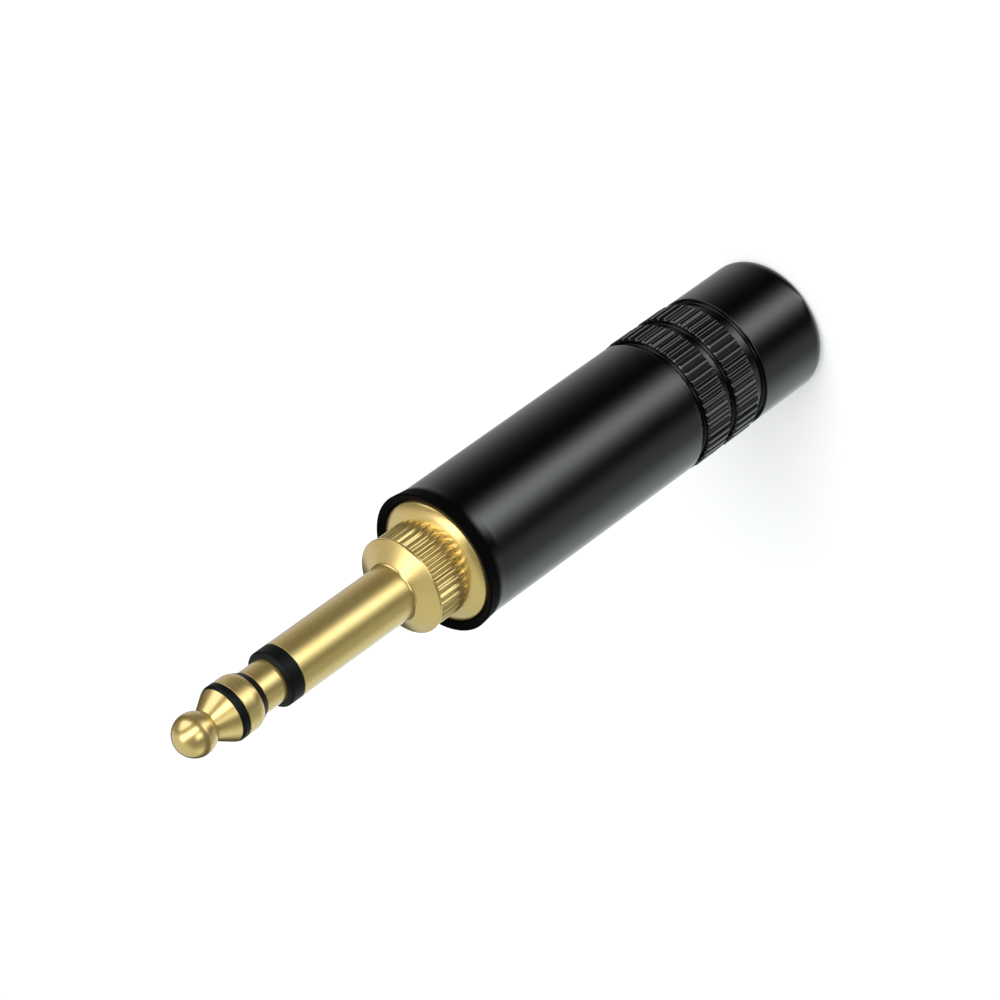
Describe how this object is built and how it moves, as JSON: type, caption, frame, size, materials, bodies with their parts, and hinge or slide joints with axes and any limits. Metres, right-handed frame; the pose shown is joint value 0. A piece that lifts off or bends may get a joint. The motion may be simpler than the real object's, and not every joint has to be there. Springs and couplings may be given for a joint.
{
  "type": "stereo jack plug",
  "caption": "Quarter-inch stereo jack plug: gold three-contact finger with ball tip, knurled collar, black tubular shell and a ribbed gland nut that closes a chuck on the cable.",
  "frame": {"origin": "centre of the gland nut's flat rear face, on which the plug stands", "axes": "+Z along the plug's axis, from the cable entry to the ball tip; the sleeve's solder tag hangs on the +Y side and the ring's on the +X side"},
  "size_m": [0.0162, 0.016, 0.0913],
  "materials": {
    "gold_plate": "gold plated, turned and polished",
    "terminal_plate": "gold flashed sheet, satin",
    "insulator_black": "black moulded plastic, semi-gloss",
    "shell_black": "black, smooth, satin gloss",
    "nut_black": "black, smooth, satin gloss",
    "chuck_plastic": "black moulded plastic",
    "liner_plastic": "natural nylon tube"
  },
  "bodies": {
    "nut_body": {"gland_nut": "nut_black"},
    "chuck_body": {"chuck": "chuck_plastic"},
    "shell_body": {"shell": "shell_black"},
    "liner_body": {"liner": "liner_plastic"},
    "contact_core": {"sleeve_body": "gold_plate", "sleeve_insulator": "insulator_black", "dead_collar": "gold_plate", "ring_insulator": "insulator_black", "ring_contact": "gold_plate", "tip_insulator": "insulator_black", "tip_contact": "gold_plate", "rear_bush": "insulator_black", "ring_terminal": "terminal_plate", "terminal_insulator": "insulator_black", "tip_terminal": "terminal_plate", "sleeve_terminal": "terminal_plate"}
  },
  "joints": [
    {"name": "nut_turn", "type": "hinge", "parent": "nut_body", "child": "chuck_body", "pos_m": [0, 0, 0.02045], "axis": [0, 0, 1], "range_deg": [0, 1800]},
    {"name": "nut_travel", "type": "slide", "parent": "chuck_body", "child": "shell_body", "axis": [0, 0, 1], "range_m": [0, 0.00502]},
    {"name": "core_turn", "type": "hinge", "parent": "shell_body", "child": "liner_body", "pos_m": [0, 0, 0.0513], "axis": [0, 0, 1], "range_deg": [0, 2160]},
    {"name": "core_travel", "type": "slide", "parent": "liner_body", "child": "contact_core", "axis": [0, 0, 1], "range_m": [0, 0.00452]}
  ],
  "couplings": [
    {"joint": "nut_travel", "follows": "nut_turn", "m_per_rad": 0.00015915},
    {"joint": "core_travel", "follows": "core_turn", "m_per_rad": 0.00011937}
  ]
}
